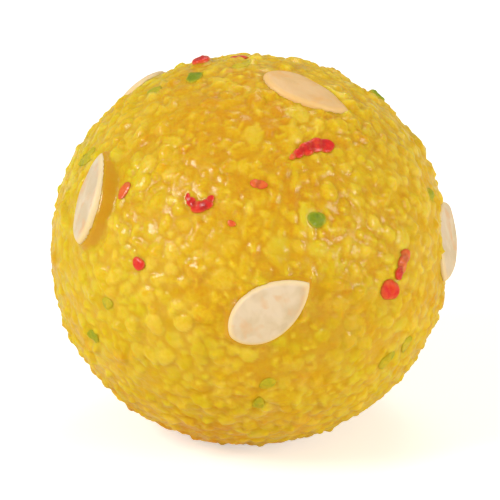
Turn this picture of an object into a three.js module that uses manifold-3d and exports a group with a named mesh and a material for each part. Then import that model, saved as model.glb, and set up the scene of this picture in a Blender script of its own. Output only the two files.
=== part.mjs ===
// A boondi ladoo: a ball of small fried gram-flour beads, bound with syrup and pressed by hand, with melon
// seeds stuck in its surface. It is one solid: the beads are bumps of their true size, and the seeds are
// fused on. Millimetres, +Z up. The origin is the middle of the small flat spot that the ball rests on, and
// the side that is looked at faces -Y. Longitude is 0 at -Y and grows towards +X, and latitude grows towards
// +Z, in degrees.

import * as THREE from "three";
import { ConvexHull } from "three/addons/math/ConvexHull.js";
import { mergeVertices } from "three/addons/utils/BufferGeometryUtils.js";
import Module from "manifold-3d";

// The ball, measured over the tops of its beads
const BALL_WIDTH = 42.8;
const BALL_HEIGHT = 42.2;
const REST_CUT = 1.3; // how much of the height sag and flat spot take off
const CENTRE_HEIGHT = BALL_HEIGHT / 2 - REST_CUT;

// Where its own weight and the palms that rolled it have pressed the ball a little flatter: depth in
// millimetres, spread in degrees. The first is the sag over the place where it rests.
const FLATS = [
  { longitude: 0, latitude: -90, depth: 0.6, spread: 36 },
  { longitude: 170, latitude: 66, depth: 0.25, spread: 28 },
  { longitude: 90, latitude: 5, depth: 0.25, spread: 24 },
  { longitude: -90, latitude: 0, depth: 0.1, spread: 24 },
  { longitude: 150, latitude: 12, depth: 0.4, spread: 30 },
  { longitude: -150, latitude: -30, depth: 0.3, spread: 24 },
];

// Beads that stand out at places of their own, laid first: whole or crushed ones, and a few large ones
const PLACED_BEADS = [
  { longitude: 8.4, latitude: 22, diameter: 3.4, lift: 0.05 },
  { longitude: 31, latitude: 63, diameter: 2.8, lift: 0.2 },
  { longitude: 2, latitude: 57, diameter: 2.6, lift: 0.1 },
  { longitude: 21, latitude: 21, diameter: 2.6, lift: 0 },
  { longitude: 18.5, latitude: 31.2, diameter: 1.8, lift: 0.1 },
  { longitude: 18.6, latitude: 48.7, diameter: 0.7, lift: 0 },
  { longitude: 22.2, latitude: 49.8, diameter: 1.2, lift: 0.05 },
  { longitude: 26.6, latitude: 50.7, diameter: 1.7, lift: 0.1 },
  { longitude: 31.4, latitude: 51.2, diameter: 2, lift: 0.1 },
  { longitude: 36.6, latitude: 50.3, diameter: 1.8, lift: 0.1 },
  { longitude: -22.2, latitude: 35.8, diameter: 0.7, lift: 0.05 },
  { longitude: -20.4, latitude: 34.4, diameter: 1.1, lift: 0.1 },
  { longitude: -17.6, latitude: 33.4, diameter: 1.5, lift: 0.1 },
  { longitude: -15.2, latitude: 34.3, diameter: 1.3, lift: 0.1 },
  { longitude: -13.9, latitude: 36.1, diameter: 0.8, lift: 0.05 },
  { longitude: 1.9, latitude: 41.2, diameter: 1, lift: 0 },
  { longitude: 4.3, latitude: 40.8, diameter: 1.1, lift: 0 },
  { longitude: -34.6, latitude: 14.4, diameter: 1.5, lift: 0.15 },
  { longitude: -48.4, latitude: 33, diameter: 1.6, lift: 0 },
  { longitude: -6, latitude: 29.4, diameter: 0.8, lift: 0 },
  { longitude: 44, latitude: 4.4, diameter: 2.5, lift: 0.2 },
  { longitude: 48.2, latitude: 8.3, diameter: 1.3, lift: 0.1 },
  { longitude: 50.2, latitude: 10.2, diameter: 1.8, lift: 0.1 },
  { longitude: 52.3, latitude: 12.2, diameter: 1.5, lift: 0.1 },
  { longitude: -128, latitude: 72, diameter: 2.2, lift: 0.6 },
  { longitude: -165, latitude: 77, diameter: 1.8, lift: 0.1 },
  { longitude: 22.1, latitude: 29.2, diameter: 2, lift: 0.1 },
  { longitude: 46.4, latitude: -19.4, diameter: 1.9, lift: 0 },
  { longitude: 54.6, latitude: -16.4, diameter: 1.6, lift: 0 },
  { longitude: -84, latitude: 73.5, diameter: 2.2, lift: 0.1 },
  { longitude: -132, latitude: 86.5, diameter: 2, lift: 0 },
  { longitude: 113, latitude: 46.5, diameter: 1.9, lift: 0.5 },
  { longitude: 102, latitude: 30, diameter: 2.8, lift: 0.5 },
  { longitude: 79, latitude: 22, diameter: 1.7, lift: 0 },
  { longitude: -80.5, latitude: 34, diameter: 2.2, lift: 0 },
  { longitude: 5.3, latitude: -19.5, diameter: 1.5, lift: 0 },
  { longitude: 2.7, latitude: -27.6, diameter: 1.4, lift: 0 },
  { longitude: -53, latitude: -13, diameter: 1.5, lift: 0 },
  { longitude: -45, latitude: 0, diameter: 1.4, lift: 0 },
  { longitude: -89, latitude: 61, diameter: 1.7, lift: 0 },
];

// The beads between them, thrown on from the largest size down: diameters and how many throws each size gets
const BEAD_SIZES = [
  { from: 2.5, to: 3.1, throws: 50 },
  { from: 1.95, to: 2.4, throws: 700 },
  { from: 1.55, to: 1.9, throws: 3600 },
  { from: 1.25, to: 1.5, throws: 9000 },
];
const THROW_SEED = 4211;
const CROWDING = 0.86; // two beads may come this near, as a share of their radii together
const BEAD_LIFT = 0.4; // the most that a bead stands out of the ball, or lies in it
const GROOVE_SHARE = 0.58; // depth of the gap between beads, as a share of their radius
const SHORTEST_EDGE = 0.16; // gaps nearer than this are one gap

// A melon seed: a flat drop with one pointed end. The powers shape its outline at the point and at the
// round end.
const SEED_LENGTH = 10;
const SEED_WIDTH = 5.9;
const SEED_THICKNESS = 1.5;
const SEED_SIDES = 14;
const POINT_POWER = 0.8;
const ROUND_POWER = 0.6;
// Half of its section, as shares of its outline and of half its thickness, from the underside up
const SEED_SECTION = [
  [0, -1],
  [0.62, -0.9],
  [1, -0.1],
  [0.97, 0.35],
  [0.78, 0.86],
  [0, 1],
];

// turn is the way that the point faces, from east towards north. lean tips the seed about its length, and
// under 0 its left side, seen with the point up, goes down. proud is how far its outer face stands over the
// beads.
const SEEDS = [
  { longitude: 5.6, latitude: 4.8, turn: 33.8, lean: 0, proud: 0.7, scale: 1 },
  { longitude: 56.8, latitude: 69.8, turn: -73.7, lean: -5, proud: 0.2, scale: 0.99 },
  { longitude: -61.7, latitude: 26.5, turn: 107.7, lean: -14.9, proud: 0.7, scale: 1 },
  { longitude: 84, latitude: 4.8, turn: -143, lean: 12, proud: 0.5, scale: 0.97 },
  { longitude: -129.5, latitude: 44.6, turn: -128.8, lean: 0, proud: 0.1, scale: 1.03 },
  { longitude: 138, latitude: 26, turn: 20, lean: 0, proud: 0.8, scale: 0.96 },
  { longitude: -168, latitude: -6, turn: 75, lean: -8, proud: 0.9, scale: 1.02 },
  { longitude: -112, latitude: -20, turn: -40, lean: 0, proud: 0.7, scale: 0.94 },
  { longitude: 112, latitude: -36, turn: 160, lean: 6, proud: 0.85, scale: 1 },
  { longitude: 172, latitude: 36, turn: -30, lean: 0, proud: 0.8, scale: 0.98 },
];

const radians = THREE.MathUtils.degToRad;

function directionAt(longitude, latitude) {
  const east = radians(longitude);
  const north = radians(latitude);
  return new THREE.Vector3(
    Math.cos(north) * Math.sin(east),
    -Math.cos(north) * Math.cos(east),
    Math.sin(north),
  );
}

const flats = FLATS.map((flat) => ({
  middle: directionAt(flat.longitude, flat.latitude),
  depth: flat.depth,
  spread: radians(flat.spread),
}));

// Distance from the ball's centre to its surface: an ellipsoid with soft flats
function ballRadius(direction) {
  const level = Math.hypot(direction.x, direction.y) / (BALL_WIDTH / 2);
  const upright = direction.z / (BALL_HEIGHT / 2);
  let radius = 1 / Math.hypot(level, upright);
  for (const { middle, depth, spread } of flats) {
    const away = middle.angleTo(direction) / spread;
    radius -= depth * Math.exp(-away * away);
  }
  return radius;
}

// The seed's own axes: x to its point, y across it, z out of its face
function seedFrame({ longitude, latitude, turn, lean, proud, scale }) {
  const out = directionAt(longitude, latitude);
  const east = new THREE.Vector3(0, 0, 1).cross(out).normalize();
  const north = out.clone().cross(east);
  const along = east
    .multiplyScalar(Math.cos(radians(turn)))
    .addScaledVector(north, Math.sin(radians(turn)));
  const middle = out
    .clone()
    .multiplyScalar(ballRadius(out) + proud - SEED_THICKNESS / 2);
  const face = out.clone().applyAxisAngle(along, radians(lean));
  const across = face.clone().cross(along);
  return { out, along, across, face, middle, scale };
}

const seedFrames = SEEDS.map(seedFrame);

// Half of the drop's width as a share of its most, at this share of the way from its point to its round end
function dropWidth(share) {
  const outline = (at) => at ** POINT_POWER * (1 - at) ** ROUND_POWER;
  return outline(share) / outline(POINT_POWER / (POINT_POWER + ROUND_POWER));
}

// A lens turned on a lathe, its round outline drawn out to a drop
function seedGeometry({ along, across, face, middle, scale }) {
  const section = SEED_SECTION.map(
    ([reach, height]) => new THREE.Vector2(reach, (height * SEED_THICKNESS) / 2),
  );
  const geometry = new THREE.LatheGeometry(section, SEED_SIDES);
  const position = geometry.getAttribute("position");
  for (let i = 0; i < position.count; i++) {
    const reach = Math.hypot(position.getX(i), position.getZ(i));
    const angle = Math.atan2(position.getX(i), position.getZ(i));
    const drop = Math.sign(Math.sin(angle)) * dropWidth((1 - Math.cos(angle)) / 2);
    position.setXYZ(
      i,
      (reach * Math.cos(angle) * SEED_LENGTH * scale) / 2,
      (reach * drop * SEED_WIDTH * scale) / 2,
      position.getY(i),
    );
  }
  const frame = new THREE.Matrix4().makeBasis(along, across, face);
  return geometry.applyMatrix4(frame.setPosition(middle));
}

// A seed presses what lies under it down into its own middle, so that nothing pokes through its face
function pressedRadius(direction, radius) {
  return seedFrames.reduce((least, { out, along, across, face, middle, scale }) => {
    const x = (direction.dot(along) * BALL_WIDTH) / (SEED_LENGTH * scale);
    const y = (direction.dot(across) * BALL_WIDTH) / (SEED_WIDTH * scale);
    if (direction.dot(out) < 0 || Math.hypot(x, y) > 1) return least;
    return Math.min(least, middle.dot(face) / direction.dot(face));
  }, radius);
}

// Numbers between 0 and 1 that are the same on every run
function drawsFrom(seed) {
  let state = seed;
  return () => {
    state = (state * 16807) % 2147483647;
    return state / 2147483647;
  };
}

// Throws beads at the ball after the placed ones, and keeps each one that finds room between the others
function layBeads() {
  const draw = drawsFrom(THROW_SEED);
  const beads = PLACED_BEADS.map(({ longitude, latitude, diameter, lift }) => ({
    direction: directionAt(longitude, latitude),
    radius: diameter / 2,
    lift,
  }));
  for (const { from, to, throws } of BEAD_SIZES) {
    for (let i = 0; i < throws; i++) {
      const up = 1 - 2 * draw();
      const round = 2 * Math.PI * draw();
      const radius = (from + (to - from) * draw()) / 2;
      const lift = BEAD_LIFT * (2 * draw() - 1) ** 3;
      const level = Math.sqrt(1 - up * up);
      const direction = new THREE.Vector3(level * Math.cos(round), level * Math.sin(round), up);
      const hasRoom = beads.every(
        (bead) =>
          (bead.direction.distanceTo(direction) * BALL_WIDTH) / 2 >
          CROWDING * (bead.radius + radius),
      );
      if (hasRoom) beads.push({ direction, radius, lift });
    }
  }
  return beads;
}

// The beads' skin. The hull of the bead directions joins neighbours in threes. Each hull face is a gap
// between three beads, and its normal points to the middle of the gap. A bead is a low cone from its top to
// the gaps round it.
function beadSkin(beads) {
  const beadAt = new Map(beads.map((bead) => [bead.direction, bead]));
  const hull = new ConvexHull().setFromPoints(beads.map((bead) => bead.direction));
  const gaps = new Map();
  for (const face of hull.faces) {
    const around = [0, 1, 2].map((i) => beadAt.get(face.getEdge(i).head().point));
    const radius = around.reduce((sum, bead) => sum + bead.radius, 0) / around.length;
    gaps.set(face, { direction: face.normal.clone(), radius, joined: null });
  }
  const gapOf = (face) => {
    let gap = gaps.get(face);
    while (gap.joined) gap = gap.joined;
    return gap;
  };

  const halfEdges = hull.faces.flatMap((face) => [0, 1, 2].map((i) => face.getEdge(i)));
  for (const edge of halfEdges) {
    const here = gapOf(edge.face);
    const there = gapOf(edge.twin.face);
    const apart = (here.direction.distanceTo(there.direction) * BALL_WIDTH) / 2;
    if (here !== there && apart < SHORTEST_EDGE) {
      there.direction.add(here.direction).normalize();
      here.joined = there;
    }
  }

  const points = [];
  const pointOf = (item, height) => {
    if (item.index === undefined) {
      const { direction } = item;
      const radius = pressedRadius(direction, ballRadius(direction) + height);
      item.index = points.length / 3;
      points.push(...direction.clone().multiplyScalar(radius).toArray());
    }
    return item.index;
  };
  const topOf = (bead) => pointOf(bead, bead.lift);
  const bottomOf = (gap) => pointOf(gap, -GROOVE_SHARE * gap.radius);
  const triangles = [];
  for (const edge of halfEdges) {
    const left = gapOf(edge.face);
    const right = gapOf(edge.twin.face);
    if (left !== right) {
      triangles.push(topOf(beadAt.get(edge.tail().point)), bottomOf(right), bottomOf(left));
    }
  }
  const geometry = new THREE.BufferGeometry();
  geometry.setAttribute("position", new THREE.Float32BufferAttribute(points, 3));
  return geometry.setIndex(triangles);
}

const wasm = await Module();
wasm.setup();

function toSolid(geometry) {
  const bare = geometry.clone();
  bare.deleteAttribute("normal");
  bare.deleteAttribute("uv");
  const merged = mergeVertices(bare);
  return new wasm.Manifold(
    new wasm.Mesh({
      numProp: 3,
      vertProperties: new Float32Array(merged.getAttribute("position").array),
      triVerts: new Uint32Array(merged.index.array),
    }),
  );
}

function toGeometry(solid) {
  const { numProp, vertProperties, triVerts } = solid.getMesh();
  const geometry = new THREE.BufferGeometry();
  const packed = new THREE.InterleavedBuffer(vertProperties, numProp);
  geometry.setAttribute("position", new THREE.InterleavedBufferAttribute(packed, 3, 0));
  geometry.setIndex(new THREE.BufferAttribute(triVerts, 1));
  return geometry.toNonIndexed();
}

// Everything below the floor, with its top face at the height of the flat spot
function floorGeometry() {
  const depth = BALL_HEIGHT / 2;
  return new THREE.BoxGeometry(BALL_WIDTH, BALL_WIDTH, depth).translate(
    0,
    0,
    -CENTRE_HEIGHT - depth / 2,
  );
}

function ladooGeometry() {
  let solid = toSolid(beadSkin(layBeads()));
  for (const frame of seedFrames) solid = solid.add(toSolid(seedGeometry(frame)));
  solid = solid.subtract(toSolid(floorGeometry()));
  const geometry = toGeometry(solid).translate(0, 0, CENTRE_HEIGHT);
  geometry.computeVertexNormals();
  return geometry;
}

const ladoo = new THREE.Mesh(
  ladooGeometry(),
  new THREE.MeshStandardMaterial({
    color: 0xdfb02f,
    roughness: 0.4,
    metalness: 0,
    flatShading: true,
  }),
);
ladoo.name = "ladoo";

const group = new THREE.Group();
group.add(ladoo);

export default group;
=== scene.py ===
# %% [markdown]
# A boondi ladoo is a sweet about 43 mm across: tiny fried gram-flour beads, soaked in syrup and pressed
# into a ball, with a few melon seeds and some red and green beads among the yellow ones.
# It could be one sphere with a bump texture, but bumps stay flat at the outline and are gone when the model
# is exported. Thousands of separate balls would look like gravel, because real beads have half melted into
# each other. So one fine skin covers the beads and the syrup between them, and only the dyed beads and the
# seeds are pieces of their own.
# The first line loads the solid model, which fixes the size.

# %% Load the fixed frame
import math
from collections import namedtuple

import bmesh
import bpy
import numpy as np
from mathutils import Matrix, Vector
from mathutils.kdtree import KDTree


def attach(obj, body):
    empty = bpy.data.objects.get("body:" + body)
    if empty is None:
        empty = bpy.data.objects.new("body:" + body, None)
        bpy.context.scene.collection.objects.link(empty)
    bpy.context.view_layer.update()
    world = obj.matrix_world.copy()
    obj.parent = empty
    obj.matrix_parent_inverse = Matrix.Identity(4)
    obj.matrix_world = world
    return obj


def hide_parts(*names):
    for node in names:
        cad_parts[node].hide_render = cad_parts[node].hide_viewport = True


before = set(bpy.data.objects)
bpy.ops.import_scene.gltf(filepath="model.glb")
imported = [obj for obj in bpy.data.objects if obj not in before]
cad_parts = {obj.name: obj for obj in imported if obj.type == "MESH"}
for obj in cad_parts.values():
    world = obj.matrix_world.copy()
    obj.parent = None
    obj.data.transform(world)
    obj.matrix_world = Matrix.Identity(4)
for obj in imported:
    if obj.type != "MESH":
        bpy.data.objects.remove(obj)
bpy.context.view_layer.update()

MM = 0.001

# %% [markdown]
# Hands never leave a true sphere: the ball is a little lower than it is wide, it sags over the place where
# it rests, and palms have pressed soft flats into it.
# A sculpted mesh could hold that form. Here a function of the direction from the ball's centre does,
# because the skin, the beads and the seeds can all ask it how far out the surface lies. Longitude is 0 at
# the side that is looked at and grows to the right, and latitude grows upwards.

# %% The form of the ball
BALL_WIDTH = 42.8 * MM
BALL_HALF = BALL_WIDTH / 2
BALL_HEIGHT = 42.2 * MM
REST_CUT = 1.3 * MM
CENTRE = np.array((0.0, 0.0, BALL_HEIGHT / 2 - REST_CUT))

# Longitude, latitude, depth in millimetres and spread in degrees. The first is the sag under the ball.
FLATS = [
    (0, -90, 0.6, 36),
    (170, 66, 0.25, 28),
    (90, 5, 0.25, 24),
    (-90, 0, 0.1, 24),
    (150, 12, 0.4, 30),
    (-150, -30, 0.3, 24),
]


def direction_at(longitude, latitude):
    east = math.radians(longitude)
    north = math.radians(latitude)
    level = math.cos(north)
    return np.array((level * math.sin(east), -level * math.cos(east), math.sin(north)))


def ball_radius(directions):
    """Distance from the ball's centre to the tops of its beads, for one direction or for many."""
    level = np.hypot(directions[..., 0], directions[..., 1]) / BALL_HALF
    upright = directions[..., 2] / (BALL_HEIGHT / 2)
    radius = 1 / np.hypot(level, upright)
    for longitude, latitude, depth, spread in FLATS:
        facing = np.clip(directions @ direction_at(longitude, latitude), -1, 1)
        away = np.arccos(facing) / math.radians(spread)
        radius = radius - depth * MM * np.exp(-(away**2))
    return radius


print("ball radius towards the viewer, mm:", round(ball_radius(direction_at(0, 0)) / MM, 2))

# %% [markdown]
# Melon seeds are pressed into the surface. A shelled one is a flat drop: one end round, one pointed. Each
# could be turned and moved by hand. Here it has a longitude and latitude, the way that its point faces, how
# far its face stands over the beads and a small lean about its length. The rest comes from the ball's form,
# so that no seed floats.

# %% Where the melon seeds lie
SEED_LENGTH = 10.0 * MM
SEED_WIDTH = 5.9 * MM
SEED_THICKNESS = 1.5 * MM
POINT_POWER = 0.8
ROUND_POWER = 0.6
MOST_SHARE = 4.0
HALVINGS = 14

# Longitude, latitude, turn of the point from east towards north, lean, height over the beads in mm, scale
SEEDS = [
    (5.6, 4.8, 33.8, 0, 0.7, 1.0),
    (56.8, 69.8, -73.7, -5, 0.2, 0.99),
    (-61.7, 26.5, 107.7, -14.9, 0.7, 1.0),
    (84, 4.8, -143, 12, 0.5, 0.97),
    (-129.5, 44.6, -128.8, 0, 0.1, 1.03),
    (138, 26, 20, 0, 0.8, 0.96),
    (-168, -6, 75, -8, 0.9, 1.02),
    (-112, -20, -40, 0, 0.7, 0.94),
    (112, -36, 160, 6, 0.85, 1.0),
    (172, 36, -30, 0, 0.8, 0.98),
]


def tangents(out):
    """The directions east and north along the surface, where it faces out. out is one direction or many."""
    east = np.stack((-out[..., 1], out[..., 0], np.zeros(out.shape[:-1])), axis=-1)
    east = east / np.linalg.norm(east, axis=-1, keepdims=True)
    return east, np.cross(out, east)


def along_surface(out, turn):
    """The direction along the surface that is turned by this angle from east towards north."""
    east, north = tangents(out)
    turn = np.radians(turn)[..., None]
    return east * np.cos(turn) + north * np.sin(turn)


def drop_width(share):
    """Half of a drop's width as a share of its most, this far of the way from its point to its round end."""
    share = np.clip(share, 0, 1)
    widest = POINT_POWER / (POINT_POWER + ROUND_POWER)
    most = widest**POINT_POWER * (1 - widest) ** ROUND_POWER
    return share**POINT_POWER * (1 - share) ** ROUND_POWER / most


def in_drop(x, y, share):
    """Which places lie in this share of a drop. x and y are shares of its length and of half its width."""
    return (np.abs(x) < share / 2) & (np.abs(y) < share * drop_width(0.5 - x / share))


class SeedPlace:
    """Where a seed lies: its middle, and its own axes along, across and out of its face."""

    def __init__(self, longitude, latitude, turn, lean, proud, scale):
        self.out = direction_at(longitude, latitude)
        self.along = along_surface(self.out, turn)
        lean = math.radians(lean)
        self.face = self.out * math.cos(lean) + np.cross(self.along, self.out) * math.sin(lean)
        self.across = np.cross(self.face, self.along)
        self.middle = self.out * (ball_radius(self.out) + proud * MM - SEED_THICKNESS / 2)
        self.scale = scale

    def in_shares(self, local):
        """Where points from the seed's middle lie, as shares of its length and of half its width."""
        x = local @ self.along / (SEED_LENGTH * self.scale)
        return x, local @ self.across / (SEED_WIDTH * self.scale / 2)

    def covers(self, points, share):
        """Which points lie inside this share of the seed's outline, seen along its face."""
        return in_drop(*self.in_shares(points - self.middle), share) & (points @ self.out > 0)

    def away(self, directions):
        """How far outside the seed's outline each direction passes the seed, along its middle plane."""
        points = directions * (self.middle @ self.face / (directions @ self.face))[:, None] - self.middle
        x, y = self.in_shares(points)
        least, most = np.zeros(len(x)), np.full(len(x), MOST_SHARE)
        for _ in range(HALVINGS):
            share = (least + most) / 2
            inside = in_drop(x, y, share)
            most = np.where(inside, share, most)
            least = np.where(inside, least, share)
        return np.linalg.norm(points, axis=1) * np.maximum(1 - 1 / most, 0)


seed_places = [SeedPlace(*seed) for seed in SEEDS]
print("melon seeds:", len(seed_places))

# %% [markdown]
# The beads are laid like gravel thrown at the ball: the largest size first, and each stays only where it
# finds room. That gives a close, uneven packing, where a grid would show. A few beads that catch the eye
# are laid first, at places of their own.
# A small number generator with a fixed start makes every run give the same ball. The sizes, the start and
# the order of the draws are those of the solid model, so that each bead sits on its own bump there. The
# crumbs at the end are too fine for the solid model.

# %% Lay the beads
# Longitude, latitude, diameter and height in millimetres, kind, and stretch and turn that aren't 1 and 0
PLACED_BEADS = [
    (8.4, 22, 3.4, 0.05, "pale"),
    (31, 63, 2.8, 0.2, "pale"),
    (2, 57, 2.6, 0.1, "pale"),
    (21, 21, 2.6, 0, "pale"),
    (18.5, 31.2, 1.8, 0.1, "pale", 1.5, 75),
    (18.6, 48.7, 0.7, 0, "rust", 1.3, 25),
    (22.2, 49.8, 1.2, 0.05, "red", 1.35, 25),
    (26.6, 50.7, 1.7, 0.1, "red", 1.25, 20),
    (31.4, 51.2, 2.0, 0.1, "red", 1.15, 5),
    (36.6, 50.3, 1.8, 0.1, "red", 1.2, -10),
    (-22.2, 35.8, 0.7, 0.05, "red", 1.2, -60),
    (-20.4, 34.4, 1.1, 0.1, "red", 1.25, -45),
    (-17.6, 33.4, 1.5, 0.1, "red", 1.2),
    (-15.2, 34.3, 1.3, 0.1, "red", 1.2, 45),
    (-13.9, 36.1, 0.8, 0.05, "red", 1.2, 65),
    (1.9, 41.2, 1.0, 0, "rust", 1.2, -20),
    (4.3, 40.8, 1.1, 0, "rust", 1.2, 20),
    (-34.6, 14.4, 1.5, 0.15, "red"),
    (-48.4, 33, 1.6, 0, "rust", 1.2, 80),
    (-6, 29.4, 0.8, 0, "rust", 1.1, -30),
    (44, 4.4, 2.5, 0.2, "red", 1.05),
    (48.2, 8.3, 1.3, 0.1, "red", 1.2, 60),
    (50.2, 10.2, 1.8, 0.1, "rust", 1.15, 65),
    (52.3, 12.2, 1.5, 0.1, "rust", 1.15, 75),
    (-128, 72, 2.2, 0.6, "red", 1.1),
    (-165, 77, 1.8, 0.1, "red", 1.3),
    (22.1, 29.2, 2.0, 0.1, "green"),
    (46.4, -19.4, 1.9, 0, "olive", 1.2, 50),
    (54.6, -16.4, 1.6, 0, "olive", 1.2, 50),
    (-84, 73.5, 2.2, 0.1, "green", 1.2),
    (-132, 86.5, 2.0, 0, "olive", 1.1),
    (113, 46.5, 1.9, 0.5, "green", 1.2, 90),
    (102, 30, 2.8, 0.5, "yellow"),
    (79, 22, 1.7, 0, "olive", 1.2),
    (-80.5, 34, 2.2, 0, "olive", 1.5, 60),
    (5.3, -19.5, 1.5, 0, "olive", 1.2, 40),
    (2.7, -27.6, 1.4, 0, "olive", 1.2, 60),
    (-53, -13, 1.5, 0, "olive", 1.2),
    (-45, 0, 1.4, 0, "olive", 1.2, 30),
    (-89, 61, 1.7, 0, "olive", 1.3, 30),
]

# Diameters from and to in millimetres, and how many throws each size gets
BEAD_SIZES = [(2.5, 3.1, 50), (1.95, 2.4, 700), (1.55, 1.9, 3600), (1.25, 1.5, 9000)]
CRUMB_SIZES = [(0.85, 1.15, 9000), (0.6, 0.8, 9000)]
THROW_SEED = 4211
CROWDING = 0.86
BEAD_LIFT = 0.4 * MM
MOST_BEADS = 8000


def draws_from(seed):
    """Numbers between 0 and 1 that are the same on every run."""
    state = seed
    while True:
        state = state * 16807 % 2147483647
        yield state / 2147483647


def many(draw, count):
    return np.array([next(draw) for _ in range(count)])


def any_direction(draw):
    up = 1 - 2 * next(draw)
    around = 2 * math.pi * next(draw)
    level = math.sqrt(1 - up * up)
    return np.array((level * math.cos(around), level * math.sin(around), up))


class Beads:
    """Many beads as arrays, which grow as beads are laid."""

    def __init__(self):
        self.count = 0
        self.direction = np.zeros((MOST_BEADS, 3))
        self.radius = np.zeros(MOST_BEADS)
        self.lift = np.zeros(MOST_BEADS)
        self.stretch = np.ones(MOST_BEADS)
        self.turn = np.zeros(MOST_BEADS)
        self.kind = []

    def add(self, direction, radius, lift, kind, stretch=1.0, turn=0.0):
        i = self.count
        self.direction[i] = direction
        self.radius[i] = radius
        self.lift[i] = lift
        self.stretch[i] = stretch
        self.turn[i] = turn
        self.kind.append(kind)
        self.count += 1

    def has_room(self, direction, radius, crowding):
        laid = slice(0, self.count)
        apart = np.linalg.norm(self.direction[laid] - direction, axis=1) * BALL_HALF
        return bool(np.all(apart > crowding * (self.radius[laid] + radius)))

    def throw(self, draw, smallest, largest, throws, kind, crowding=CROWDING):
        for _ in range(throws):
            direction = any_direction(draw)
            radius = (smallest + (largest - smallest) * next(draw)) / 2 * MM
            lift = BEAD_LIFT * (2 * next(draw) - 1) ** 3
            if self.has_room(direction, radius, crowding):
                self.add(direction, radius, lift, kind)


beads = Beads()
for longitude, latitude, diameter, height, *rest in PLACED_BEADS:
    beads.add(direction_at(longitude, latitude), diameter * MM / 2, height * MM, *rest)
draw = draws_from(THROW_SEED)
for smallest, largest, throws in BEAD_SIZES:
    beads.throw(draw, smallest, largest, throws, "yellow")
beads_in_solid = beads.count
for smallest, largest, throws in CRUMB_SIZES:
    beads.throw(draw, smallest, largest, throws, "crumb")
print("beads that the solid model has too:", beads_in_solid, "and crumbs:", beads.count - beads_in_solid)

# %% [markdown]
# Red and green beads are mixed through the whole batch, a few in each hundred, some dyed strongly and some
# hardly. Those that show in front have their places above. Elsewhere a rule picks some of the thrown beads,
# so that every side of the ball looks alike.
# A bead's tone says how pale it is, from 0 to 1, and for a dyed bead how weak the dye is. Its lime says how
# far its yellow goes from orange to lime, and its two phases make its outline uneven. All these come from a
# second number generator.

# %% Colours, tones and outlines of the beads
DYED = {"red": 0.007, "rust": 0.004, "green": 0.008, "olive": 0.009}
DYED_UP_TO = 1.0 * MM
SHOWN_SIDE = direction_at(0, 22)
SHOWN_FACING = 0.05
TONES = {
    "pale": (1.1, 1.3),
    "red": (0.0, 0.25),
    "rust": (0.5, 0.65),
    "green": (0.0, 0.3),
    "olive": (0.38, 0.62),
}
LIME_OF_PALE = 1.2
PICK_SEED = 77
STRETCHED_UP_TO = 0.45


def pick_kind(i, chance):
    """The kind of a thrown bead: the chance decides whether it is dyed, where it doesn't show in front."""
    hidden = beads.direction[i] @ SHOWN_SIDE < SHOWN_FACING
    if hidden and beads.radius[i] < DYED_UP_TO:
        for kind, share in DYED.items():
            if chance < share:
                return kind
            chance -= share
    return beads.kind[i]


pick = draws_from(PICK_SEED)
for i in range(len(PLACED_BEADS), beads.count):
    beads.kind[i] = pick_kind(i, next(pick))
    beads.stretch[i] = 1 + STRETCHED_UP_TO * next(pick) ** 2
    beads.turn[i] = 180 * next(pick)


def tone_of(kind, share):
    low, high = TONES.get(kind, (0.0, 1.0))
    return low + (high - low) * share


laid = slice(0, beads.count)
beads.tone = np.array([tone_of(kind, next(pick)) for kind in beads.kind])
beads.phases = many(pick, 2 * beads.count).reshape(-1, 2) * 2 * math.pi
beads.lime = np.array([LIME_OF_PALE if kind == "pale" else next(pick) for kind in beads.kind])
beads.dyed = np.array([kind in DYED for kind in beads.kind])
beads.along = along_surface(beads.direction[laid], beads.turn[laid])
beads.across = np.cross(beads.direction[laid], beads.along)
print({kind: beads.kind.count(kind) for kind in sorted(set(beads.kind))})

# %% [markdown]
# Between the beads lies the binding: syrup, ghee and crushed beads. Where there is much of it, the beads
# are half drowned and the surface is smoother and more orange. Where there is little, the gaps are deep.
# A height map could hold that, but it would be an image. A sum of a few long waves in all directions gives
# the same soft, uneven field from numbers alone.
# Beside the leaning seed on the left the binding lies open in a smooth hollow, which gets a place of its
# own. Syrup also climbs up the sides of every seed, so that it looks grown in and not laid on.

# %% Fields that vary over the ball
WAVE_COUNT = 7
SHORTEST_WAVE = 0.7
WAVE_SPREAD = 0.6


def waves(points, length, start):
    """A smooth field between about -1 and 1, the sum of waves of about this length in all directions."""
    draw = draws_from(start)
    total = np.zeros(points.shape[:-1])
    for _ in range(WAVE_COUNT):
        heading = any_direction(draw)
        stride = length * (SHORTEST_WAVE + WAVE_SPREAD * next(draw))
        total += np.sin(points @ heading * (2 * math.pi / stride) + 2 * math.pi * next(draw))
    return total / math.sqrt(WAVE_COUNT)


def layered(points, layers, middle=0.0):
    """A field round its middle, from layers of waves, each with its strength, length and start."""
    for strength, length, start in layers:
        middle = middle + strength * waves(points, length, start)
    return middle


# Longitude, latitude, turn, half length and half width in millimetres of places where the binding lies open
SYRUP_POOLS = [(-54.6, 28.5, 99, 4.9, 1.8), (122, 8, 60, 3.5, 1.5)]


def pool_share(directions):
    """1 in the middle of a pool of binding, and 0 away from all of them."""
    share = np.zeros(directions.shape[:-1])
    for longitude, latitude, turn, half_length, half_width in SYRUP_POOLS:
        out = direction_at(longitude, latitude)
        along = along_surface(out, turn)
        x = directions @ along * BALL_HALF / (half_length * MM)
        y = directions @ np.cross(out, along) * BALL_HALF / (half_width * MM)
        near = np.exp(-((x * x + y * y) ** 2))
        share = np.maximum(share, np.where(directions @ out > 0, near, 0.0))
    return share


SOAK_WAVES = [(0.14, 17 * MM, 5), (0.14, 6 * MM, 9)]
MIDDLE_SOAK = 0.4


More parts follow.
